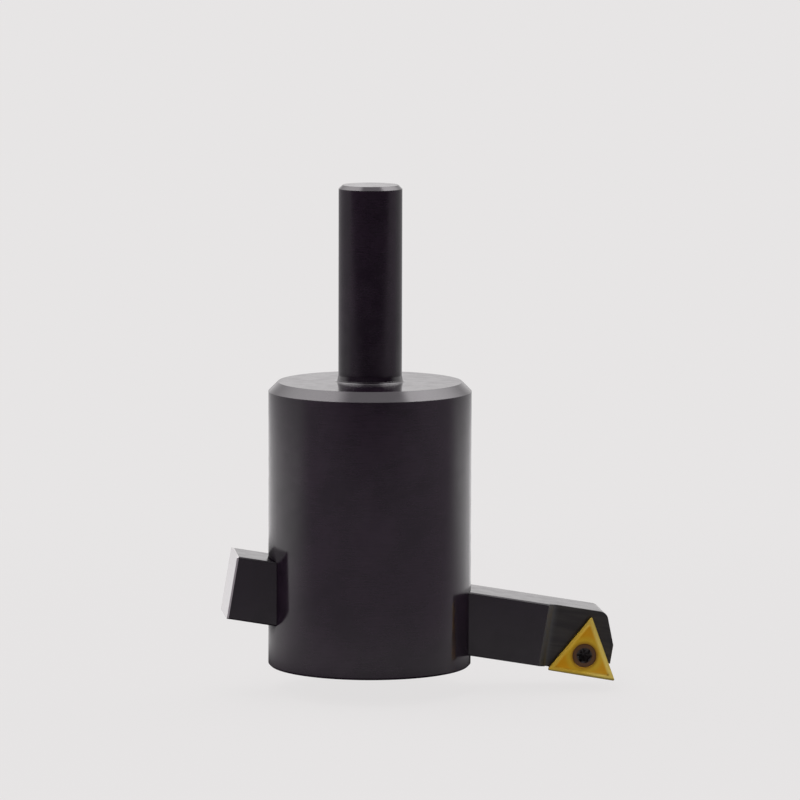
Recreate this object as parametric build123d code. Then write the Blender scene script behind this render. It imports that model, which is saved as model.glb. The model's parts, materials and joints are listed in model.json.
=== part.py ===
"""Fly cutter: a turned head with a solid shank, and a clamped tool bar with a screwed-on insert.

The origin is on the shank's axis, at the top of the small collar at the shank's foot.
+Z runs up the shank, +X towards the cutting end of the bar, and the insert faces -Y.
All sizes are in millimetres.
"""
import os
from math import atan2, cos, degrees, radians, sin, sqrt, tan

from build123d import *

# Shank and head
shank_diameter = 10.0
shank_length = 30.0             # ground part, from the collar up
shank_chamfer = 0.6
collar_diameter = 10.3
collar_height = 1.0
collar_taper_height = 0.7       # the collar slopes in to the shank's own diameter
head_diameter = 32.0
head_height = 45.0
shoulder_chamfer = 1.5
lower_edge_chamfer = 0.3

# Sloping square slot through the head, a sliding fit for the bar
slot_clearance = 0.05           # on each side of the bar
slot_slope = 9.5                # degrees, down towards the cutting end
slot_corner_radius = 0.3
slot_centre_height = 9.5        # slot's centre line above the head's lower face, on the axis

# Tool bar
bar_side = 10.0
bar_edge_break = 0.2
bar_tail_length = 22.5          # from the shank's axis to the sawn tail, along the bar
bar_reach = 38.9                # from the shank's axis to the nose of the bar
bar_tail_cut_angle = 1.0        # degrees that the saw cut is out of square

# Rake side of the bar's head
rake_relief_depth = 0.9
rake_relief_run = 1.1           # length of the ramp down to the relieved face
rake_relief_start = 11.4        # from the nose of the bar back to the top of the ramp
rake_relief_fillet = 1.0        # between the ramp and the relieved face
nose_clearance_angle = 1.0      # degrees, of the nose's own faces
nose_corner_radius = 1.4
nose_facet_height = 5.0         # height of the sloping facet at the nose
nose_facet_set_back = 1.9
nose_support_drop = 3.0         # below it the bar clears the insert's outer edge
flank_clearance_angle = 7.0     # degrees, of the bar's faces behind the cutting edges
flank_set_back = 0.35           # bar's faces behind the insert's edges, at the rake face

# Insert
insert_inscribed_diameter = 6.35
insert_thickness = 2.38
insert_relief_angle = 7.0       # degrees
insert_nose_radius = 0.2
insert_hole_diameter = 2.8
insert_seat_diameter = 4.05     # mouth of the conical seat
insert_seat_angle = 60.0        # degrees, included
insert_land_width = 0.4
insert_groove_depth = 0.16
insert_groove_slope = 62.0      # degrees off the insert's axis
insert_groove_corner_radius = 0.55
insert_set_back = 4.4           # insert's centre behind the nose of the bar
insert_drop = 2.25              # insert's centre below the bar's centre line
insert_turn = 0.6               # degrees clockwise, from an edge parallel to the bar
pocket_clearance = 0.04

# Insert screw
insert_screw_diameter = 2.5
insert_screw_length = 6.0
insert_screw_head_diameter = 3.7
insert_screw_head_drop = 0.28   # top of the head below the rake face
insert_screw_point_chamfer = 0.3
six_lobe_diameter = 2.4
six_lobe_core_diameter = 1.8
six_lobe_tip_radius = 0.32
six_lobe_depth = 0.9
six_lobe_count = 6
insert_screw_fit = 0.03         # radial clearance in its thread
seat_clearance = 0.02

# Set screws, driven in from the back
set_screw_diameter = 6.0
set_screw_length = 8.0
set_screw_socket = 3.0          # across flats
set_screw_socket_depth = 3.0
set_screw_point_diameter = 4.0
set_screw_chamfer = 0.6
set_screw_spacing = 14.0
set_screw_fit = 0.03            # radial clearance in its thread
set_screw_tip_clearance = 0.02
tapped_hole_chamfer = 0.6

# Worked-out places
head_radius = head_diameter / 2
head_bottom = -collar_height - head_height
slot_centre_z = head_bottom + slot_centre_height
bar_front_y = -bar_side / 2
bar_back_y = bar_side / 2

# The bar's own frame: X along the bar to its nose, Y up its side, Z out of its rake face
bar_frame = Plane(
    origin=(0, bar_front_y, slot_centre_z),
    x_dir=(cos(radians(slot_slope)), 0, -sin(radians(slot_slope))),
    z_dir=(0, -1, 0),
)
insert_place = Location((bar_reach - insert_set_back, -insert_drop, 0), (0, 0, -insert_turn))
insert_circle = insert_inscribed_diameter / 2


def half_space(plane, size=200.0):
    """A large block on the far side of a plane, for cutting away what lies there."""
    return plane * Pos(0, 0, size / 2) * Box(size, size, size)


def make_head():
    """The head, collar and shank, turned from one bar and slotted."""
    shank_radius = shank_diameter / 2
    collar_radius = collar_diameter / 2
    outline = Polyline(
        (0, head_bottom),
        (head_radius - lower_edge_chamfer, head_bottom),
        (head_radius, head_bottom + lower_edge_chamfer),
        (head_radius, -collar_height - shoulder_chamfer),
        (head_radius - shoulder_chamfer, -collar_height),
        (collar_radius, -collar_height),
        (collar_radius, -collar_taper_height),
        (shank_radius, 0),
        (shank_radius, shank_length - shank_chamfer),
        (shank_radius - shank_chamfer, shank_length),
        (0, shank_length),
        close=True,
    )
    head = revolve(Plane.XZ * make_face(outline), Axis.Z)

    slot_side = bar_side + 2 * slot_clearance
    slot = Box(3 * head_diameter, slot_side, slot_side)
    slot = fillet(slot.edges().filter_by(Axis.X), slot_corner_radius)
    head -= Pos(0, 0, slot_centre_z) * Rot(0, slot_slope, 0) * slot

    for side in (-1, 1):
        head -= set_screw_frame(side) * make_tapped_hole()
    return head


def set_screw_frame(side):
    """A set screw's frame: origin at its point, Z out of the back of the head."""
    x = side * set_screw_spacing / 2
    z = slot_centre_z - x * tan(radians(slot_slope))
    return Plane(origin=(x, bar_back_y + set_screw_tip_clearance, z), x_dir=(1, 0, 0), z_dir=(0, 1, 0))


def make_tapped_hole():
    """The hole of a set screw, from inside the slot out through the back of the head."""
    radius = set_screw_diameter / 2 + set_screw_fit
    mouth = sqrt(head_radius**2 - (set_screw_spacing / 2) ** 2) - bar_back_y
    bore = extrude(Circle(radius), head_radius)
    rim = radius + tapped_hole_chamfer
    cone = Cone(radius, rim, tapped_hole_chamfer, align=(Align.CENTER, Align.CENTER, Align.MAX))
    clear = extrude(Circle(rim), head_radius)
    return bore + Pos(0, 0, mouth) * (cone + clear)


def make_set_screw(side):
    """A socket set screw with a flat point, its point against the bar's back."""
    radius = set_screw_diameter / 2
    point_radius = set_screw_point_diameter / 2
    outline = Polyline(
        (0, 0),
        (point_radius, 0),
        (radius, radius - point_radius),
        (radius, set_screw_length - set_screw_chamfer),
        (radius - set_screw_chamfer, set_screw_length),
        (0, set_screw_length),
        close=True,
    )
    screw = revolve(Plane.XZ * make_face(outline), Axis.Z)
    socket = extrude(RegularPolygon(set_screw_socket / 2, 6, major_radius=False), -set_screw_socket_depth)
    screw -= Pos(0, 0, set_screw_length) * socket
    return set_screw_frame(side) * screw


def insert_outline(grow, corner_radius):
    """The insert's rounded triangle at the rake face, grown by an offset."""
    triangle = RegularPolygon(insert_circle + grow, 3, major_radius=False, rotation=-30)
    return fillet(triangle.vertices(), corner_radius)


def make_insert_blank(grow):
    """The insert's body without its hole: it narrows away from the rake face."""
    outline = insert_outline(grow, insert_nose_radius + grow)
    return extrude(outline, -insert_thickness, taper=insert_relief_angle)


def make_insert():
    """A triangular positive insert with a chip groove and a conical screw seat."""
    insert = make_insert_blank(0)
    groove = insert_outline(-insert_land_width, insert_groove_corner_radius)
    insert -= extrude(groove, -insert_groove_depth, taper=insert_groove_slope)

    hole_radius = insert_hole_diameter / 2
    seat_radius = insert_seat_diameter / 2
    seat_depth = (seat_radius - hole_radius) / tan(radians(insert_seat_angle / 2))
    insert -= extrude(Circle(hole_radius), -insert_thickness)
    insert -= Cone(hole_radius, seat_radius, seat_depth, align=(Align.CENTER, Align.CENTER, Align.MAX))
    return bar_frame * insert_place * insert


def make_insert_screw():
    """The insert's screw: a coned head with a six-lobe socket, and a plain thread."""
    half_angle = radians(insert_seat_angle / 2)
    shank_radius = insert_screw_diameter / 2
    head_radius_top = insert_screw_head_diameter / 2
    seat_radius = insert_seat_diameter / 2 - seat_clearance / cos(half_angle)
    cone_top = -(seat_radius - head_radius_top) / tan(half_angle)
    cone_foot = -(seat_radius - shank_radius) / tan(half_angle)
    tip = -insert_screw_head_drop - insert_screw_length
    outline = Polyline(
        (0, -insert_screw_head_drop),
        (head_radius_top, -insert_screw_head_drop),
        (head_radius_top, cone_top),
        (shank_radius, cone_foot),
        (shank_radius, tip + insert_screw_point_chamfer),
        (shank_radius - insert_screw_point_chamfer, tip),
        (0, tip),
        close=True,
    )
    screw = revolve(Plane.XZ * make_face(outline), Axis.Z)
    screw -= Pos(0, 0, -insert_screw_head_drop) * extrude(six_lobe(), -six_lobe_depth)
    return bar_frame * insert_place * screw


def six_lobe():
    """The socket's outline: a round core with a lobe at each of its points."""
    outline = Circle(six_lobe_core_diameter / 2)
    for place in PolarLocations(six_lobe_diameter / 2 - six_lobe_tip_radius, six_lobe_count):
        outline += place * Circle(six_lobe_tip_radius)
    return outline


def leaning_plane(point, turn, clearance_angle=flank_clearance_angle):
    """A face behind the rake face's edge: it faces outwards at a turn, and leans back by its clearance."""
    lean = radians(clearance_angle)
    across = Vector(cos(radians(turn)), sin(radians(turn)), 0)
    return Plane(origin=point, z_dir=across * cos(lean) - Vector(0, 0, sin(lean)))


def make_tool_bar():
    """The bar, with a faceted nose, a relieved rake side, cleared flanks and the insert's pocket."""
    half = bar_side / 2
    blank = Box(bar_tail_length + bar_reach + 2 * bar_side, bar_side, bar_side)
    blank = chamfer(blank.edges().filter_by(Axis.X), bar_edge_break)
    bar = Pos((bar_reach - bar_tail_length) / 2, 0, -half) * blank

    tilt = radians(bar_tail_cut_angle)
    bar -= half_space(Plane(origin=(-bar_tail_length, 0, 0), z_dir=(-cos(tilt), 0, sin(tilt))))

    facet_foot = (bar_reach, half - nose_facet_height, 0)
    facet_turn = degrees(atan2(nose_facet_set_back, nose_facet_height))
    bar -= half_space(leaning_plane((bar_reach, 0, 0), 0, nose_clearance_angle))
    bar -= half_space(leaning_plane(facet_foot, facet_turn, nose_clearance_angle))
    corner = (bar_reach - nose_facet_set_back, half, -half)
    bar = fillet(bar.edges().sort_by_distance(corner)[0], nose_corner_radius)

    ramp_top = bar_reach - rake_relief_start
    ramp_foot = ramp_top + rake_relief_run
    relief = Polyline(
        (ramp_top - rake_relief_run, rake_relief_depth),
        (ramp_foot, -rake_relief_depth),
        (bar_reach + bar_side, -rake_relief_depth),
        (bar_reach + bar_side, rake_relief_depth),
        close=True,
    )
    relief = make_face(relief)
    foot = relief.vertices().sort_by_distance((ramp_foot, -rake_relief_depth))[0]
    bar -= extrude(Plane.XZ * fillet(foot, rake_relief_fillet), bar_side, both=True)

    under_insert = insert_place * half_space(insert_flank(-90))
    bar -= under_insert & half_space(Plane(origin=(ramp_foot, 0, 0), z_dir=(1, 0, 0)))
    beside_insert = insert_place * half_space(insert_flank(30))
    bar -= beside_insert & half_space(Plane(origin=(0, -nose_support_drop, 0), z_dir=(0, -1, 0)))

    bar -= insert_place * make_insert_blank(pocket_clearance)
    screw_hole = insert_screw_diameter / 2 + insert_screw_fit
    bar -= insert_place * extrude(Circle(screw_hole), -2 * bar_side)
    return bar_frame * bar


def insert_flank(turn):
    """The bar's face behind one of the insert's edges, in the insert's frame."""
    inset = insert_circle - flank_set_back
    return leaning_plane((inset * cos(radians(turn)), inset * sin(radians(turn)), 0), turn)


parts = {
    "head": make_head(),
    "tool_bar": make_tool_bar(),
    "insert": make_insert(),
    "insert_screw": make_insert_screw(),
    "set_screw_tail_side": make_set_screw(-1),
    "set_screw_nose_side": make_set_screw(1),
}

os.makedirs("parts", exist_ok=True)
for name, shape in parts.items():
    shape.label = name
    export_step(shape, f"parts/{name}.step")
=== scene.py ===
"""Fly cutter: a black-finished head and tool bar with a gold-coated insert, on a pale studio floor.

Everything is in metres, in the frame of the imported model: the shank points up +Z, and the insert faces -Y.
A pair of places is where a smooth step starts and where it ends.
"""
import json
import math

import bpy
from mathutils import Matrix, Vector


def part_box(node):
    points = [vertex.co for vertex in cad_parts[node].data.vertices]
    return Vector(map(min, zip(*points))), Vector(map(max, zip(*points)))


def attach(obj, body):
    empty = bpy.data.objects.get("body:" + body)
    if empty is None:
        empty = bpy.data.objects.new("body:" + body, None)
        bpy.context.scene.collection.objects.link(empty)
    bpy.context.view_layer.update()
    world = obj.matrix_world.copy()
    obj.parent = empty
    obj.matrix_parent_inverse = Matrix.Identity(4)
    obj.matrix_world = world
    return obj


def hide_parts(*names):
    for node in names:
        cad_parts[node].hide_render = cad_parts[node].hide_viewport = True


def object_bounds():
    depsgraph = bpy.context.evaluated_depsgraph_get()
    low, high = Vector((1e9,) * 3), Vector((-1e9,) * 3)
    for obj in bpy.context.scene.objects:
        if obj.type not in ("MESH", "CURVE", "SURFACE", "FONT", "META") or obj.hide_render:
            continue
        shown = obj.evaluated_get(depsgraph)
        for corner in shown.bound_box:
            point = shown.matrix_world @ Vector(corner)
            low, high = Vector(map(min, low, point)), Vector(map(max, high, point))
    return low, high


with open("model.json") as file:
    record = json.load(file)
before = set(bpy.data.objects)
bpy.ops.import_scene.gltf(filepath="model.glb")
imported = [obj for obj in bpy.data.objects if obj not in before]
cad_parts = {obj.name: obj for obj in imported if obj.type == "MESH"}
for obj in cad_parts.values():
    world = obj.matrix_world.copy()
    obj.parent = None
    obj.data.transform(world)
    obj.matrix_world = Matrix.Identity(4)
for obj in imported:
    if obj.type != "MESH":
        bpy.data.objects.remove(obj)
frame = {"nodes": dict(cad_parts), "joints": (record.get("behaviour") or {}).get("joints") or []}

cad_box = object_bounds()
bar_slide = frame["joints"][0]

MM = 0.001

# Camera, at the photograph's viewing angle
FRAME_PIXELS = 800
FOCAL_PIXELS = 5758.5
SENSOR_WIDTH = 36.0
CAMERA_PLACE = (0.0, -0.9, 0.10327)         # before the turn below
CAMERA_PITCH_DOWN = math.radians(6.794)
CAMERA_ROLL = math.radians(0.16)
CAMERA_CLIP_START = 0.01
CAMERA_CLIP_END = 100.0
VIEW_TURN = math.radians(5.8)               # camera and studio, about the shank towards the bar's tail
SHANK_AXIS_LEFT_OF_CENTRE_PIXELS = 30.18

# Room and sky, by direction: X to the camera's right, Y away from it, Z up
BACKGROUND = (0.799, 0.784, 0.784, 1.0)
ROOM_FRONT_LEFT = (0.10, 0.095, 0.10, 1.0)
ROOM_FRONT_RIGHT = (0.04, 0.038, 0.042, 1.0)
ROOM_FRONT_SIDES = (-0.9, 0.7)              # X, from the left colour to the right one
ROOM_BACK = (0.93, 0.91, 0.915, 1.0)
ROOM_FRONT_ENDS = (-0.25, 0.32)             # Y, from the dim front to the pale back
SKY_MIDDLE = (1.9, 1.85, 1.88, 1.0)
SKY_LEFT = (5.6, 5.45, 5.5, 1.0)
SKY_RIGHT = (7.0, 6.8, 6.9, 1.0)
SKY_SIDES = (-0.1, 0.1)                     # X, from the left colour to the right one
SKY_LEFT_STARTS = (-0.22, -0.40)            # X, from the middle of the sky to its left
SKY_RIGHT_STARTS = (0.32, 0.44)
SKY_RISE = (0.3, 1.0)                       # Z, from the room to the sky
SKY_FRONT_ENDS = (-0.55, -0.2)              # Y, from the room to the sky

# Floor, by place: X to the camera's right, Y away from it
FLOOR_REACH = 6.0
FLOOR_ALBEDO = (0.72, 0.705, 0.705, 1.0)
FLOOR_SHADOW_SHARE = 0.08                   # of the matt floor, in what the camera sees near the part
FLOOR_SHADOW_ENDS = (0.05, 0.22)            # from the shank's axis outward
FLOOR_MIRRORED_SHADOW_SHARE = 0.6           # of the matt floor, in what shiny faces see near the part
FLOOR_MIRRORED_SHADOW_ENDS = (0.03, 0.12)

# Floor as shiny faces mirror it
FLOOR_FRONT_GLOSS = (0.40, 0.355, 0.40, 1.0)
FLOOR_FAR_FRONT = (-0.45, -0.22)            # Y, from the dim room to the floor in front
FLOOR_BEHIND = (1.0, 0.98, 0.99, 1.0)
FLOOR_NEAR_FRONT = (-0.05, 0.09)            # Y, from the floor in front to the pale floor behind
FLOOR_FRONT_SKEW = 0.25                     # the pale floor comes further forward on the left
FLOOR_FAR = (0.40, 0.39, 0.40, 1.0)
FLOOR_FAR_START = (0.25, 0.50)              # from the shank's axis outward
FLOOR_PAINTED_SHADOW = (0.03, 0.028, 0.03, 1.0)     # painted shadow, which shiny faces see round the head's foot
FLOOR_PAINTED_SHADOW_ENDS = (0.022, 0.066)      # from its middle outward
FLOOR_PAINTED_SHADOW_BACK = 0.010               # its middle, behind the shank's axis
FLOOR_PAINTED_SHADOW_RIGHT = (0.012, 0.028)     # X and Y where it ends on the insert's side
FLOOR_PAINTED_SHADOW_FRONT = (0.012, -0.008)

# Lamps
TOP_LAMP_SIZE = 0.55
TOP_LAMP_PLACE = (-0.12, 0.05, 0.62)
TOP_LAMP_POWER = 2.3
FRONT_LAMP_SIZE = 0.25
FRONT_LAMP_PLACE = (-0.20, -0.55, 0.50)
FRONT_LAMP_POWER = 1.2

# Noise: scales are per metre, and a drift is how fast a mark changes along its own line
NOISE_BODY = (0.3, 0.7)                     # where most of a noise lies
BLOTCH_SCALE = 160.0
BLOTCH_DETAIL = 4.0
SHEEN_SCALE = 420.0
TURNED_MARK_SCALE = 4200.0
TURNED_MARK_DRIFT = 0.0012                  # per radian
MILLED_MARK_SCALE = 3600.0
MILLED_MARK_DRIFT = 0.03
STREAK_SCALE = 1500.0
STREAK_DRIFT = 0.08
CLOUD_SCALE = 900.0
GRAIN_SCALE = 9000.0
GRAIN_DETAIL = 2.0

# Black steel, whose tones are its darker and its lighter colour
STEEL_IOR = 1.5
EDGE_RADIUS = 0.12 * MM
EDGE_SAMPLES = 4
MARKS_IN_TONE = 0.5                         # how much of the marks' noise is added to the blotches'
TONE_ENDS = (0.5, 1.0)
SHEEN_SPREAD = 0.04                         # of the roughness, to each side

# Head
HEAD_TONES = ((0.012, 0.0070, 0.0132, 1.0), (0.021, 0.0120, 0.0220, 1.0))
HEAD_ROUGHNESS = 0.14
HEAD_MARK_DEPTH = 0.0006 * MM
NOOK_SHADE_REACH = 6.0 * MM                       # how far off another face the head's reflection is dimmed, as painted shade
NOOK_SAMPLES = 6
NOOK_ENDS = (0.62, 0.99)                    # openness, from no specular level to the full one
NOOK_TOP = (-26.0 * MM, -22.0 * MM)         # Z, from the slot's surroundings to the plain wall above
FULL_SPECULAR_LEVEL = 0.5
COLLAR_RADIUS = 5.15 * MM
COLLAR_FOOT = -1.0 * MM                     # Z
FOOT_FILLET = 0.38 * MM
FOOT_FILLET_STEPS = 8

# Tool bar, whose places along it count from the shank's axis towards its nose
BAR_CENTRE_Z = -36.5 * MM                   # where the bar's middle crosses the shank's axis
BAR_TONES = ((0.006, 0.0034, 0.0068, 1.0), (0.0105, 0.0066, 0.0116, 1.0))
BAR_ROUGHNESS = 0.16
BAR_MARK_DEPTH = 0.0007 * MM
RELIEF_START = (27.45 * MM, 27.65 * MM)
RELIEF_RAMP_FADES = (27.65 * MM, 29.6 * MM)
RELIEF_SIDE = (-1.5 * MM, -1.2 * MM)        # depth from the rake face, from the flanks to the relief
RELIEF_ROUGHER = 0.2
RELIEF_TONES = ((0.009, 0.0075, 0.0075, 1.0), (0.026, 0.023, 0.020, 1.0))
RELIEF_STREAK_ENDS = (0.35, 0.7)
# Partly wear, partly a painted highlight: the ramp is lighter grey for its ground steel and for the light it
# catches
RAMP_WEAR_AND_HIGHLIGHT = (0.068, 0.070, 0.072, 1.0)
TAIL_END = (-22.2 * MM, -22.25 * MM)        # from black to bare
BARE_STEEL = (0.60, 0.585, 0.59, 1.0)
BARE_ROUGHNESS = 0.25

# Insert
INSERT_INSCRIBED_RADIUS = 3.175 * MM
INSERT_GOLD = ((0.66, 0.385, 0.013, 1.0), (0.84, 0.55, 0.035, 1.0))
INSERT_METALLIC = 0.85
INSERT_ROUGHNESS = (0.34, 0.44)
INSERT_GRAIN_DEPTH = 0.001 * MM
INSERT_CORNER_GOLD = (0.78, 0.37, 0.006, 1.0)
INSERT_CORNERS = (2.5 * MM, 3.4 * MM)       # from the hole outward
INSERT_LAND_GOLD = (1.0, 0.80, 0.19, 1.0)
INSERT_LAND_INNER_EDGE = (0.40 * MM, 0.90 * MM)     # from the insert's edges inward
INSERT_LAND_SHARES = (0.9, 0.1)             # on the land, and inside it
INSERT_FACE = (-0.35 * MM, -0.25 * MM)      # depth from the rake face
INSERT_WORN_SIDE = (33.0 * MM, 36.0 * MM)   # X, towards the nose of the bar
INSERT_WORN_SHARES = (0.25, 1.0)
# Painted shade: a brown ring round the screw stands in for the shadow in the hole's countersink
INSERT_HOLE_SHADE_BROWN = (0.35, 0.16, 0.02, 1.0)
INSERT_HOLE_SHADE_RING = (1.9 * MM, 2.5 * MM)          # from the screw outward, where it is gone
INSERT_HOLE_SHADE_SHARE = 0.75
# Painted shade: a dark olive band along the insert's lower edge stands in for the shade on that edge
INSERT_LOWER_EDGE_SHADE = (0.30, 0.235, 0.045, 1.0)
INSERT_LOWER_SHADE_BAND = (0.14 * MM, 0.34 * MM)  # from the edge along the bar's underside upward, as the ring's
INSERT_LOWER_SHADE_SHARE = 0.9

# Screws
SCREW_TONES = ((0.012, 0.009, 0.010, 1.0), (0.03, 0.022, 0.02, 1.0))
INSERT_SCREW_TONES = ((0.008, 0.006, 0.006, 1.0), (0.018, 0.013, 0.012, 1.0))
INSERT_SCREW_BROWN = (0.095, 0.034, 0.0015, 1.0)
INSERT_SCREW_BROWN_STARTS = (1.1 * MM, 1.35 * MM)   # from its axis outward
SCREW_ROUGHNESS = 0.33
SCREW_MARK_DEPTH = 0.001 * MM
SET_SCREW_THREAD = (3.0 * MM, 2.39 * MM, 1.0 * MM)  # major and minor radius, pitch
SET_SCREW_POINT_RADIUS = 2.0 * MM
SET_SCREW_CHAMFER = 0.6 * MM
SET_SCREW_SOCKET = 3.0 * MM                 # across flats, and deep
INSERT_SCREW_THREAD = (1.25 * MM, 0.975 * MM, 0.45 * MM)
INSERT_SCREW_CHAMFER = 0.3 * MM
INSERT_SCREW_RIM = 0.03 * MM
INSERT_SCREW_HALF_ANGLE = math.radians(30)
SIX_LOBE = (0.9 * MM, 0.88 * MM, 0.32 * MM)     # core radius, lobes' centres, lobe radius
SIX_LOBE_DEPTH = 0.9 * MM
SOCKET_POINT_SHARE = 0.2                    # of the socket's half width
SOCKET_POINT_SLOPE = math.tan(math.radians(31))
HOLE_CHAMFER = 0.65 * MM
THREAD_ROOT_SHARE = 0.25
THREAD_FLANK_SHARE = 0.625
THREAD_SKIN = 0.02 * MM                     # the sleeve's thinnest wall, inside the hole's clearance
THREAD_RINGS_PER_TURN = 10
ROUND_STEPS = 120
SHARP_ANGLE = math.radians(30)

# A mix node's sockets for colours, by number
MIX_SHARE, MIX_FIRST, MIX_SECOND = 0, 6, 7
MIX_RESULT = 2


def add_node(tree, kind, inputs=(), **settings):
    """A shader node with its settings, and its inputs given as numbers or as other nodes' outputs."""
    made = tree.nodes.new(kind)
    for name, value in settings.items():
        setattr(made, name, value)
    for key, value in dict(inputs).items():
        if isinstance(value, bpy.types.NodeSocket):
            tree.links.new(value, made.inputs[key])
        else:
            made.inputs[key].default_value = value
    return made


def calculate(tree, operation, first, *others):
    """A sum on numbers, taken from left to right. The square root has no second number."""
    result = first
    for other in others or (0.0,):
        result = add_node(tree, "ShaderNodeMath", {0: result, 1: other}, operation=operation).outputs[0]
    return result


def off_axis(tree, x, y):
    """How far a point lies from the axis where x and y are 0."""
    squares = calculate(tree, "MULTIPLY", x, x), calculate(tree, "MULTIPLY", y, y)
    return calculate(tree, "SQRT", calculate(tree, "ADD", *squares))


def remap(tree, value, start, end, low=0.0, high=1.0):
    """A smooth step of a value from low at start to high at end."""
    inputs = {"Value": value, "From Min": start, "From Max": end, "To Min": low, "To Max": high}
    return add_node(tree, "ShaderNodeMapRange", inputs, interpolation_type="SMOOTHSTEP").outputs[0]


def mix_colours(tree, share, first, second):
    """A colour between two colours."""
    inputs = {MIX_SHARE: share, MIX_FIRST: first, MIX_SECOND: second}
    return add_node(tree, "ShaderNodeMix", inputs, data_type="RGBA").outputs[MIX_RESULT]


def noise(tree, vector, scale, detail=3.0):
    """Noise from 0 to 1."""
    inputs = {"Vector": vector, "Scale": scale, "Detail": detail}
    return add_node(tree, "ShaderNodeTexNoise", inputs).outputs["Fac"]


def object_point(tree):
    """The shaded point in the part's frame, in metres."""
    return add_node(tree, "ShaderNodeTexCoord").outputs["Object"]


def split(tree, vector):
    """The three components of a vector."""
    return add_node(tree, "ShaderNodeSeparateXYZ", {"Vector": vector}).outputs


def join(tree, x, y, z):
    """A vector from three numbers."""
    return add_node(tree, "ShaderNodeCombineXYZ", {"X": x, "Y": y, "Z": z}).outputs[0]


def in_frame(tree, place):
    """The components of the shaded point in the frame of a place matrix, in metres."""
    inputs = {
        "Vector": object_point(tree),
        "Location": place.to_translation(),
        "Rotation": place.to_euler(),
    }
    return split(tree, add_node(tree, "ShaderNodeMapping", inputs, vector_type="TEXTURE").outputs[0])


def new_material(name):
    """An empty material, its nodes, and the Principled shader that is joined to its output."""
    material = bpy.data.materials.new(name)
    material.use_nodes = True
    tree = material.node_tree
    shader = next(n for n in tree.nodes if n.type == "BSDF_PRINCIPLED")
    return material, tree, shader


def feeding(shader, name):
    """The output that feeds one of a shader's inputs."""
    return shader.inputs[name].links[0].from_socket


def turned_marks(tree):
    """Fine rings left by a lathe about the Z axis, on walls, flats and chamfers alike."""
    x, y, z = split(tree, object_point(tree))
    drift = calculate(tree, "MULTIPLY", calculate(tree, "ARCTAN2", y, x), TURNED_MARK_DRIFT)
    return noise(tree, join(tree, off_axis(tree, x, y), z, drift), TURNED_MARK_SCALE)


def milled_marks(tree, place):
    """Fine lines left by a cutter along the X axis of a place matrix."""
    x, y, z = in_frame(tree, place)
    drift = calculate(tree, "MULTIPLY", x, MILLED_MARK_DRIFT)
    return noise(tree, join(tree, drift, y, z), MILLED_MARK_SCALE)


def finish_normal(tree, relief, depth):
    """The surface normal with every sharp edge slightly rounded, and a fine relief on it."""
    edges = {"Radius": EDGE_RADIUS}
    rounded = add_node(tree, "ShaderNodeBevel", edges, samples=EDGE_SAMPLES).outputs[0]
    inputs = {"Height": relief, "Distance": depth, "Normal": rounded}
    return add_node(tree, "ShaderNodeBump", inputs).outputs[0]


def black_steel(name, marks, tones, roughness, mark_depth):
    """Black-finished steel: a dark film over machined steel, whose lines show through."""
    material, tree, shader = new_material(name)
    point = object_point(tree)
    blotches = noise(tree, point, BLOTCH_SCALE, BLOTCH_DETAIL)
    lines = marks(tree)
    tone = calculate(tree, "ADD", blotches, calculate(tree, "MULTIPLY", lines, MARKS_IN_TONE))
    tree.links.new(mix_colours(tree, remap(tree, tone, *TONE_ENDS), *tones), shader.inputs["Base Color"])
    sheen = remap(tree, noise(tree, point, SHEEN_SCALE), *NOISE_BODY,
                  roughness - SHEEN_SPREAD, roughness + SHEEN_SPREAD)
    tree.links.new(sheen, shader.inputs["Roughness"])
    tree.links.new(finish_normal(tree, lines, mark_depth), shader.inputs["Normal"])
    shader.inputs["IOR"].default_value = STEEL_IOR
    return material, tree, shader


def look_of_head():
    """The turned head, collar and shank, with painted shade: they mirror less where the bar or the slot is
    close.
    """
    material, tree, shader = black_steel("black_turned_steel", turned_marks, HEAD_TONES, HEAD_ROUGHNESS,
                                         HEAD_MARK_DEPTH)
    # Painted shade: the specular level falls where other faces are near, as round the slot's mouths
    reach = {"Distance": NOOK_SHADE_REACH}
    openness = add_node(tree, "ShaderNodeAmbientOcclusion", reach, samples=NOOK_SAMPLES).outputs["AO"]
    z = split(tree, object_point(tree))[2]
    openness = calculate(tree, "MAXIMUM", openness, remap(tree, z, *NOOK_TOP))
    level = remap(tree, openness, *NOOK_ENDS, 0.0, FULL_SPECULAR_LEVEL)
    tree.links.new(level, shader.inputs["Specular IOR Level"])
    return material


def bar_place():
    """The tool bar's frame: X down along the bar to its nose, Z out of its rake face."""
    along = Vector(bar_slide["axis"]).normalized()
    out = Vector((0.0, -1.0, 0.0))
    place = Matrix((along, out.cross(along), out)).transposed().to_4x4()
    place.translation = Vector((0.0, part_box("tool_bar")[0].y, BAR_CENTRE_Z))
    return place


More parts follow.
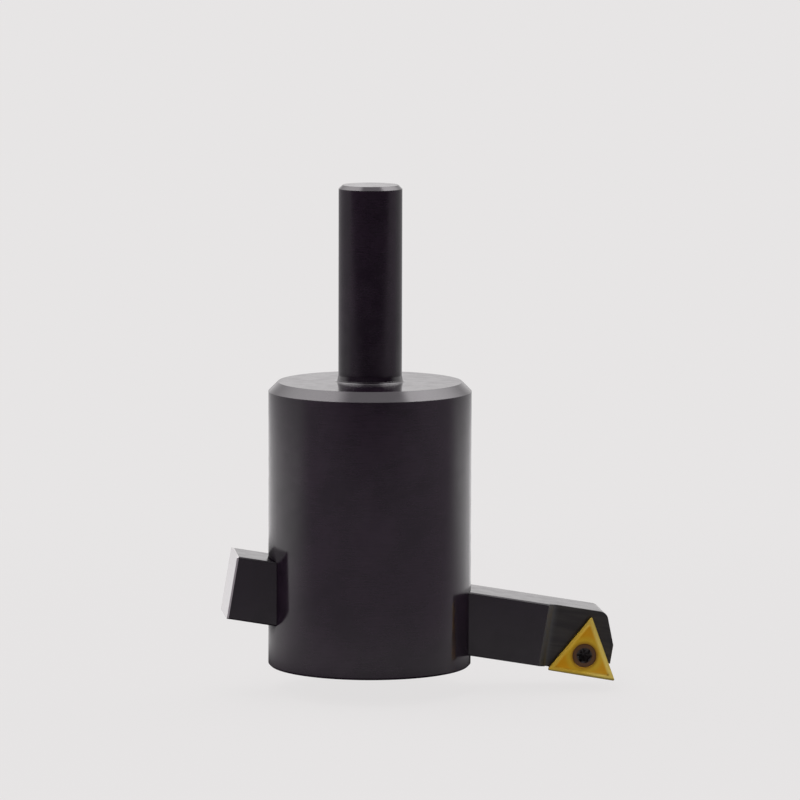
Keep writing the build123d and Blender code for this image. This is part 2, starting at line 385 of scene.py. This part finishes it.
def look_of_bar():
    """The milled tool bar: thinner black on the relieved part of its rake side, and a bare tail end."""
    place = bar_place()
    material, tree, shader = black_steel("black_milled_steel", lambda tree: milled_marks(tree, place),
                                         BAR_TONES, BAR_ROUGHNESS, BAR_MARK_DEPTH)
    black, sheen = feeding(shader, "Base Color"), feeding(shader, "Roughness")
    along, up, out = in_frame(tree, place)
    relieved = calculate(tree, "MULTIPLY", remap(tree, along, *RELIEF_START),
                         remap(tree, out, *RELIEF_SIDE))
    ramp = calculate(tree, "MULTIPLY", relieved, remap(tree, along, *RELIEF_RAMP_FADES, 1.0, 0.0))
    bare = remap(tree, along, *TAIL_END)

    drift = calculate(tree, "MULTIPLY", along, STREAK_DRIFT)
    streaks = noise(tree, join(tree, drift, up, out), STREAK_SCALE)
    thin = mix_colours(tree, remap(tree, streaks, *RELIEF_STREAK_ENDS), *RELIEF_TONES)
    colour = mix_colours(tree, relieved, black, thin)
    # The ramp's lighter grey: partly wear, partly a painted highlight
    colour = mix_colours(tree, ramp, colour, RAMP_WEAR_AND_HIGHLIGHT)
    colour = mix_colours(tree, bare, colour, BARE_STEEL)

    rougher = calculate(tree, "MULTIPLY", relieved, RELIEF_ROUGHER)
    evened = calculate(tree, "MULTIPLY", bare, calculate(tree, "SUBTRACT", BARE_ROUGHNESS, sheen))
    tree.links.new(colour, shader.inputs["Base Color"])
    tree.links.new(bare, shader.inputs["Metallic"])
    tree.links.new(calculate(tree, "ADD", sheen, rougher, evened), shader.inputs["Roughness"])
    return material


def insert_place():
    """The insert's frame: X from its hole to one of its corners, Z out of its rake face."""
    low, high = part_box("insert_screw")
    centre = Vector(((low.x + high.x) / 2, 0.0, (low.z + high.z) / 2))
    rake = Vector((0.0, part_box("insert")[0].y, 0.0))
    piece = frame["nodes"]["insert"]
    in_plane = Vector((1, 0, 1))
    arms = ((piece.matrix_world @ vertex.co) * in_plane - centre for vertex in piece.data.vertices)
    along = max(arms, key=lambda arm: arm.length).normalized()
    out = Vector((0.0, -1.0, 0.0))
    place = Matrix((along, out.cross(along), out)).transposed().to_4x4()
    place.translation = centre + rake
    return place


def look_of_insert():
    """A gold-coloured nitride coating: paler lands, deeper corners, painted shade round the screw and on the
    lower edge.
    """
    material, tree, shader = new_material("gold_nitride_coating")
    point = object_point(tree)
    cloud = noise(tree, point, CLOUD_SCALE)
    place = insert_place()
    x, y, out = in_frame(tree, place)
    radius = off_axis(tree, x, y)
    edges = []
    for turn in (0.0, math.tau / 3, -math.tau / 3):
        across = (calculate(tree, "MULTIPLY", x, math.cos(turn)),
                  calculate(tree, "MULTIPLY", y, math.sin(turn)))
        edges.append(calculate(tree, "ADD", *across, INSERT_INSCRIBED_RADIUS))
    inward = calculate(tree, "MINIMUM", *edges)

    colour = mix_colours(tree, cloud, *INSERT_GOLD)
    corners = calculate(tree, "MULTIPLY", remap(tree, inward, *INSERT_LAND_INNER_EDGE),
                        remap(tree, radius, *INSERT_CORNERS))
    colour = mix_colours(tree, corners, colour, INSERT_CORNER_GOLD)
    land = remap(tree, inward, *INSERT_LAND_INNER_EDGE, *INSERT_LAND_SHARES)
    worn = remap(tree, split(tree, point)[0], *INSERT_WORN_SIDE, *INSERT_WORN_SHARES)
    land = calculate(tree, "MULTIPLY", land, worn, remap(tree, out, *INSERT_FACE))
    colour = mix_colours(tree, land, colour, INSERT_LAND_GOLD)
    # Painted shade round the screw, for the shadow in the hole's countersink
    painted_hole_shade = remap(tree, radius, *INSERT_HOLE_SHADE_RING, INSERT_HOLE_SHADE_SHARE, 0.0)
    colour = mix_colours(tree, painted_hole_shade, colour, INSERT_HOLE_SHADE_BROWN)
    # Painted shade along the insert's lower edge
    bar = bar_place()
    lowest = (bar.inverted() @ place.translation).y - INSERT_INSCRIBED_RADIUS
    above = calculate(tree, "SUBTRACT", in_frame(tree, bar)[1], lowest)
    painted_lower_shade = remap(tree, above, *INSERT_LOWER_SHADE_BAND, INSERT_LOWER_SHADE_SHARE, 0.0)
    colour = mix_colours(tree, painted_lower_shade, colour, INSERT_LOWER_EDGE_SHADE)

    tree.links.new(colour, shader.inputs["Base Color"])
    shader.inputs["Metallic"].default_value = INSERT_METALLIC
    tree.links.new(remap(tree, cloud, *NOISE_BODY, *INSERT_ROUGHNESS), shader.inputs["Roughness"])
    grain = noise(tree, point, GRAIN_SCALE, GRAIN_DETAIL)
    tree.links.new(finish_normal(tree, grain, INSERT_GRAIN_DEPTH), shader.inputs["Normal"])
    return material


def look_of_set_screws():
    """Black alloy screws."""
    material, _, _ = black_steel("black_screw_steel", turned_marks, SCREW_TONES, SCREW_ROUGHNESS,
                                 SCREW_MARK_DEPTH)
    return material


def look_of_insert_screw():
    """The insert's screw: brown on the outer part of its head, and black in its socket."""
    material, tree, shader = black_steel("brown_screw_steel", turned_marks, INSERT_SCREW_TONES,
                                         SCREW_ROUGHNESS, SCREW_MARK_DEPTH)
    x, y, _ = split(tree, object_point(tree))
    brown = remap(tree, off_axis(tree, x, y), *INSERT_SCREW_BROWN_STARTS)
    colour = mix_colours(tree, brown, feeding(shader, "Base Color"), INSERT_SCREW_BROWN)
    tree.links.new(colour, shader.inputs["Base Color"])
    return material


def dress(node, material):
    """Gives a CAD node one material."""
    materials = frame["nodes"][node].data.materials
    materials.clear()
    materials.append(material)


def ring(radius_at, z):
    """One ring of points about the Z axis, whose radius is a function of the angle."""
    angles = [math.tau * step / ROUND_STEPS for step in range(ROUND_STEPS)]
    return [(radius_at(angle) * math.cos(angle), radius_at(angle) * math.sin(angle), z) for angle in angles]


def plain(radius):
    """A radius that is the same all round."""
    return lambda angle: radius


def threaded(z, major, minor, pitch):
    """The radius of a right-hand thread at a height, as a function of the angle."""
    def radius_at(angle):
        turned = (z / pitch - angle / math.tau) % 1.0
        flank = (abs(2 * turned - 1) - THREAD_ROOT_SHARE) / THREAD_FLANK_SHARE
        return minor + (major - minor) * min(max(flank, 0.0), 1.0)
    return radius_at


def off_middle_of_sixth(angle):
    """An angle, counted from the middle of its sixth of a turn."""
    sixth = math.tau / 6
    return angle % sixth - sixth / 2


def hexagon(across_flats):
    """The radius of a hexagon as a function of the angle."""
    return lambda angle: across_flats / 2 / math.cos(off_middle_of_sixth(angle))


def six_lobe(core, lobe_centre, lobe_radius):
    """The radius of a six-lobe socket as a function of the angle."""
    def radius_at(angle):
        off = off_middle_of_sixth(angle)
        inside = lobe_radius**2 - (lobe_centre * math.sin(off)) ** 2
        return max(core, lobe_centre * math.cos(off) + math.sqrt(inside)) if inside > 0 else core
    return radius_at


def steps_between(start, end, pitch):
    """Heights from start to end, close enough to show a thread."""
    count = max(1, round(abs(end - start) / pitch * THREAD_RINGS_PER_TURN))
    return [start + (end - start) * step / count for step in range(count + 1)]


def add_round_piece(name, body, material, place, rings, closed=False):
    """A piece skinned over rings of points: closed on itself, or with its first and last rings filled."""
    count = len(rings[0])
    pairs = list(zip(range(len(rings)), range(1, len(rings))))
    faces = []
    if closed:
        pairs.append((len(rings) - 1, 0))
    else:
        faces.append(tuple(reversed(range(count))))
        faces.append(tuple(range((len(rings) - 1) * count, len(rings) * count)))
    for here, there in pairs:
        for step in range(count):
            following = (step + 1) % count
            faces.append((here * count + step, here * count + following,
                          there * count + following, there * count + step))
    mesh = bpy.data.meshes.new(name)
    mesh.from_pydata([point for points in rings for point in points], [], faces)
    mesh.shade_smooth()
    mesh.set_sharp_from_angle(angle=SHARP_ANGLE)
    mesh.materials.append(material)
    piece = bpy.data.objects.new(name, mesh)
    piece.matrix_world = place
    bpy.context.scene.collection.objects.link(piece)
    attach(piece, body)
    return piece


def add_foot_fillet(material):
    """The small turned fillet between the collar and the shoulder, sunk a little into both."""
    middle_r, middle_z = COLLAR_RADIUS + FOOT_FILLET, COLLAR_FOOT + FOOT_FILLET
    sunk = FOOT_FILLET / 4
    profile = [(COLLAR_RADIUS - sunk, middle_z), (COLLAR_RADIUS - sunk, COLLAR_FOOT - sunk),
               (middle_r, COLLAR_FOOT - sunk)]
    for step in range(FOOT_FILLET_STEPS + 1):
        angle = -math.pi / 2 - math.pi / 2 * step / FOOT_FILLET_STEPS
        profile.append((middle_r + FOOT_FILLET * math.cos(angle), middle_z + FOOT_FILLET * math.sin(angle)))
    rings = [ring(plain(radius), z) for radius, z in profile]
    add_round_piece("collar_foot_fillet", "holder", material, Matrix.Identity(4), rings,
                    closed=True)


def hole_thread_rings(start, end, thread):
    """A sleeve in a tapped hole, with the thread inside."""
    major, minor, pitch = thread
    skin = plain(major + THREAD_SKIN)
    inside = [ring(threaded(z, major, minor, pitch), z) for z in steps_between(end, start, pitch)]
    return [ring(skin, start), ring(skin, end)] + inside


def screw_rings(outline, thread, thread_end, socket, socket_depth):
    """A screw from its point to its top along an outline of radii and heights, and down into its socket."""
    major, minor, pitch = thread
    rings = []
    for (radius, z), (next_radius, next_z) in zip(outline, outline[1:]):
        is_threaded = z < thread_end and next_z > z
        heights = steps_between(z, next_z, pitch) if is_threaded else [z, next_z]
        for height in heights[:-1]:
            limit = radius + (next_radius - radius) * (height - z) / (next_z - z)
            cut = threaded(height, major, minor, pitch) if is_threaded else plain(limit)
            rings.append(ring(lambda angle: min(limit, cut(angle)), height))
    top_radius, top = outline[-1]
    floor, half_width = top - socket_depth, socket(0.0)
    point_radius = half_width * SOCKET_POINT_SHARE
    point = floor - (half_width - point_radius) * SOCKET_POINT_SLOPE
    return rings + [ring(plain(top_radius), top), ring(socket, top), ring(socket, floor),
                    ring(plain(point_radius), point)]


def add_set_screw(side, screw_material, head_material):
    """A threaded set screw in place of its plain solid, and the thread of its hole beyond it."""
    node = "set_screw_" + side + "_side"
    low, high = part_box(node)
    x, z = (low.x + high.x) / 2, (low.z + high.z) / 2
    place = Matrix.Translation((x, low.y, z)) @ Matrix.Rotation(-math.pi / 2, 4, "X")
    major = SET_SCREW_THREAD[0]
    length = high.y - low.y
    outline = [(SET_SCREW_POINT_RADIUS, 0.0), (major, major - SET_SCREW_POINT_RADIUS),
               (major, length - SET_SCREW_CHAMFER), (major - SET_SCREW_CHAMFER, length)]
    rings = screw_rings(outline, SET_SCREW_THREAD, length, hexagon(SET_SCREW_SOCKET), SET_SCREW_SOCKET)
    screw = add_round_piece("threaded_" + node, "holder", screw_material, place, rings)
    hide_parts(node)
    head_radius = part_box("head")[1].x
    mouth = math.sqrt(head_radius**2 - x**2) - low.y
    rings = hole_thread_rings(length, mouth - HOLE_CHAMFER, SET_SCREW_THREAD)
    add_round_piece("thread_" + side + "_side", "holder", head_material, place, rings,
                    closed=True)


def add_insert_screw(screw_material, bar_material):
    """The threaded insert screw in place of its plain solid, and the thread of its hole beyond it."""
    place = insert_place()
    rake = place.translation.y
    low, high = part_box("insert_screw")
    top, point = rake - low.y - INSERT_SCREW_RIM, rake - high.y
    major = INSERT_SCREW_THREAD[0]
    head_radius = (high.x - low.x) / 2
    cone_foot = top - (head_radius - major) / math.tan(INSERT_SCREW_HALF_ANGLE)
    outline = [(major - INSERT_SCREW_CHAMFER, point), (major, point + INSERT_SCREW_CHAMFER),
               (major, cone_foot), (head_radius, top), (head_radius, top + INSERT_SCREW_RIM / 2)]
    rings = screw_rings(outline, INSERT_SCREW_THREAD, cone_foot, six_lobe(*SIX_LOBE), SIX_LOBE_DEPTH)
    screw = add_round_piece("threaded_insert_screw", "cutter", screw_material, place, rings)
    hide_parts("insert_screw")
    rings = hole_thread_rings(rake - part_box("tool_bar")[1].y, point, INSERT_SCREW_THREAD)
    add_round_piece("thread_insert_hole", "cutter", bar_material, place, rings, closed=True)


def in_studio(place):
    """A place of the studio, turned with the camera."""
    return Matrix.Rotation(-VIEW_TURN, 3, "Z") @ Vector(place)


def studio_axes(tree, vector):
    """The components of a vector along the camera's right, away from it, and up."""
    inputs = {"Vector": vector, "Rotation": (0.0, 0.0, VIEW_TURN)}
    return split(tree, add_node(tree, "ShaderNodeMapping", inputs, vector_type="POINT").outputs[0])


def ray_kinds(tree):
    """Whether a ray comes from the camera or through glass, and whether a shiny face mirrored it."""
    rays = add_node(tree, "ShaderNodeLightPath").outputs
    direct = calculate(tree, "MAXIMUM", rays["Is Camera Ray"], rays["Is Transmission Ray"])
    return direct, rays["Is Glossy Ray"]


def mirrored_floor(tree, x, y, away):
    """The floor's colour in shiny faces: dim in front, pale behind the part, and dimmer again far off."""
    front = mix_colours(tree, remap(tree, y, *FLOOR_FAR_FRONT), ROOM_FRONT_RIGHT, FLOOR_FRONT_GLOSS)
    behind = mix_colours(tree, remap(tree, away, *FLOOR_FAR_START), FLOOR_BEHIND, FLOOR_FAR)
    skewed = calculate(tree, "SUBTRACT", y, calculate(tree, "MULTIPLY", x, FLOOR_FRONT_SKEW))
    return mix_colours(tree, remap(tree, skewed, *FLOOR_NEAR_FRONT), front, behind)


def clear_of_painted_shadow(tree, x, y):
    """0 on the painted shadow round the head's foot, and 1 off it, as on the insert's side."""
    off_painted_shadow = off_axis(tree, x, calculate(tree, "SUBTRACT", y, FLOOR_PAINTED_SHADOW_BACK))
    front_right = calculate(tree, "MULTIPLY", remap(tree, x, *FLOOR_PAINTED_SHADOW_RIGHT),
                            remap(tree, y, *FLOOR_PAINTED_SHADOW_FRONT))
    return calculate(tree, "MAXIMUM", remap(tree, off_painted_shadow, *FLOOR_PAINTED_SHADOW_ENDS), front_right)


def look_of_floor():
    """To the camera the background's colour, to shiny faces a colour by place, and matt to other light.

    Near the part a share of the matt floor shows too, with the part's shadow, and in shiny faces a painted
    shadow.
    """
    material = bpy.data.materials.new("pale_floor")
    material.use_nodes = True
    tree = material.node_tree
    tree.nodes.clear()
    matt = add_node(tree, "ShaderNodeBsdfDiffuse", {"Color": FLOOR_ALBEDO}).outputs[0]
    x, y, _ = studio_axes(tree, object_point(tree))
    away = off_axis(tree, x, y)
    clear = clear_of_painted_shadow(tree, x, y)
    direct, glossy = ray_kinds(tree)
    # Shiny faces see a painted shadow round the head's foot
    mirrored = mix_colours(tree, clear, FLOOR_PAINTED_SHADOW, mirrored_floor(tree, x, y, away))
    colour = mix_colours(tree, direct, mirrored, BACKGROUND)
    pale = add_node(tree, "ShaderNodeEmission", {"Color": colour}).outputs[0]
    seen_shadow = remap(tree, away, *FLOOR_SHADOW_ENDS, FLOOR_SHADOW_SHARE, 0.0)
    seen_pale = calculate(tree, "MULTIPLY", direct, calculate(tree, "SUBTRACT", 1.0, seen_shadow))
    mirrored_shadow = remap(tree, away, *FLOOR_MIRRORED_SHADOW_ENDS, FLOOR_MIRRORED_SHADOW_SHARE, 0.0)
    mirrored_shadow = calculate(tree, "MULTIPLY", mirrored_shadow, clear)
    mirrored_pale = calculate(tree, "MULTIPLY", glossy, calculate(tree, "SUBTRACT", 1.0, mirrored_shadow))
    share = calculate(tree, "MAXIMUM", seen_pale, mirrored_pale)
    mixed = add_node(tree, "ShaderNodeMixShader", {0: share, 1: matt, 2: pale}).outputs[0]
    add_node(tree, "ShaderNodeOutputMaterial", {"Surface": mixed})
    return material


def make_floor():
    """A pale floor below the insert's lowest place, with a soft shadow, that fades into the background."""
    z = cad_box[0].z + min(0.0, bar_slide["axis"][2] * bar_slide["range_m"][1])
    corners = [(x * FLOOR_REACH, y * FLOOR_REACH, z) for x, y in ((-1, -1), (1, -1), (1, 1), (-1, 1))]
    mesh = bpy.data.meshes.new("floor")
    mesh.from_pydata(corners, [], [(0, 1, 2, 3)])
    mesh.materials.append(look_of_floor())
    floor = bpy.data.objects.new("floor", mesh)
    bpy.context.scene.collection.objects.link(floor)


def make_world():
    """To the camera the background's colour, and to light and reflections a room, dim on the camera's side.

    Only shiny faces see the brighter sky over the room.
    """
    world = bpy.data.worlds.new("studio")
    bpy.context.scene.world = world
    world.use_nodes = True
    tree = world.node_tree
    tree.nodes.clear()
    x, y, z = studio_axes(tree, add_node(tree, "ShaderNodeTexCoord").outputs["Generated"])
    front = mix_colours(tree, remap(tree, x, *ROOM_FRONT_SIDES), ROOM_FRONT_LEFT, ROOM_FRONT_RIGHT)
    room = mix_colours(tree, remap(tree, y, *ROOM_FRONT_ENDS), front, ROOM_BACK)
    sky_sides = mix_colours(tree, remap(tree, x, *SKY_SIDES), SKY_LEFT, SKY_RIGHT)
    off_middle = calculate(tree, "MAXIMUM", remap(tree, x, *SKY_LEFT_STARTS),
                           remap(tree, x, *SKY_RIGHT_STARTS))
    sky = mix_colours(tree, off_middle, SKY_MIDDLE, sky_sides)
    direct, glossy = ray_kinds(tree)
    in_sky = calculate(tree, "MULTIPLY", remap(tree, z, *SKY_RISE), remap(tree, y, *SKY_FRONT_ENDS), glossy)
    colour = mix_colours(tree, direct, mix_colours(tree, in_sky, room, sky), BACKGROUND)
    light = add_node(tree, "ShaderNodeBackground", {"Color": colour}).outputs[0]
    add_node(tree, "ShaderNodeOutputWorld", {"Surface": light})


def make_lamp(name, size, place, power):
    """A square soft lamp, aimed at the part, that shiny faces don't mirror."""
    light = bpy.data.lights.new(name, "AREA")
    light.size = size
    light.energy = power
    lamp = bpy.data.objects.new(name, light)
    lamp.location = in_studio(place)
    lamp.rotation_mode = "QUATERNION"
    lamp.rotation_quaternion = (-lamp.location).to_track_quat("-Z", "Y")
    lamp.visible_glossy = False
    bpy.context.scene.collection.objects.link(lamp)


def make_camera():
    """The camera, with the shank's axis a little left of the frame's centre."""
    data = bpy.data.cameras.new("camera")
    data.sensor_width = SENSOR_WIDTH
    data.lens = FOCAL_PIXELS / FRAME_PIXELS * SENSOR_WIDTH
    data.clip_start = CAMERA_CLIP_START
    data.clip_end = CAMERA_CLIP_END
    camera = bpy.data.objects.new("camera", data)
    turn_right = math.atan(SHANK_AXIS_LEFT_OF_CENTRE_PIXELS / FOCAL_PIXELS)
    heading = Matrix.Rotation(-turn_right - VIEW_TURN, 3, "Z")
    tilt = Matrix.Rotation(math.pi / 2 - CAMERA_PITCH_DOWN, 3, "X")
    roll = Matrix.Rotation(CAMERA_ROLL, 3, "Z")
    camera.location = in_studio(CAMERA_PLACE)
    camera.rotation_euler = (heading @ tilt @ roll).to_euler()
    bpy.context.scene.collection.objects.link(camera)
    bpy.context.scene.camera = camera


head_look = look_of_head()
bar_look = look_of_bar()
dress("head", head_look)
dress("tool_bar", bar_look)
dress("insert", look_of_insert())
set_screw_look = look_of_set_screws()

add_foot_fillet(head_look)
for side in ("tail", "nose"):
    add_set_screw(side, set_screw_look, head_look)
add_insert_screw(look_of_insert_screw(), bar_look)

make_camera()
make_world()
make_floor()
make_lamp("top_lamp", TOP_LAMP_SIZE, TOP_LAMP_PLACE, TOP_LAMP_POWER)
make_lamp("front_lamp", FRONT_LAMP_SIZE, FRONT_LAMP_PLACE, FRONT_LAMP_POWER)
bpy.context.scene.view_settings.view_transform = "Standard"
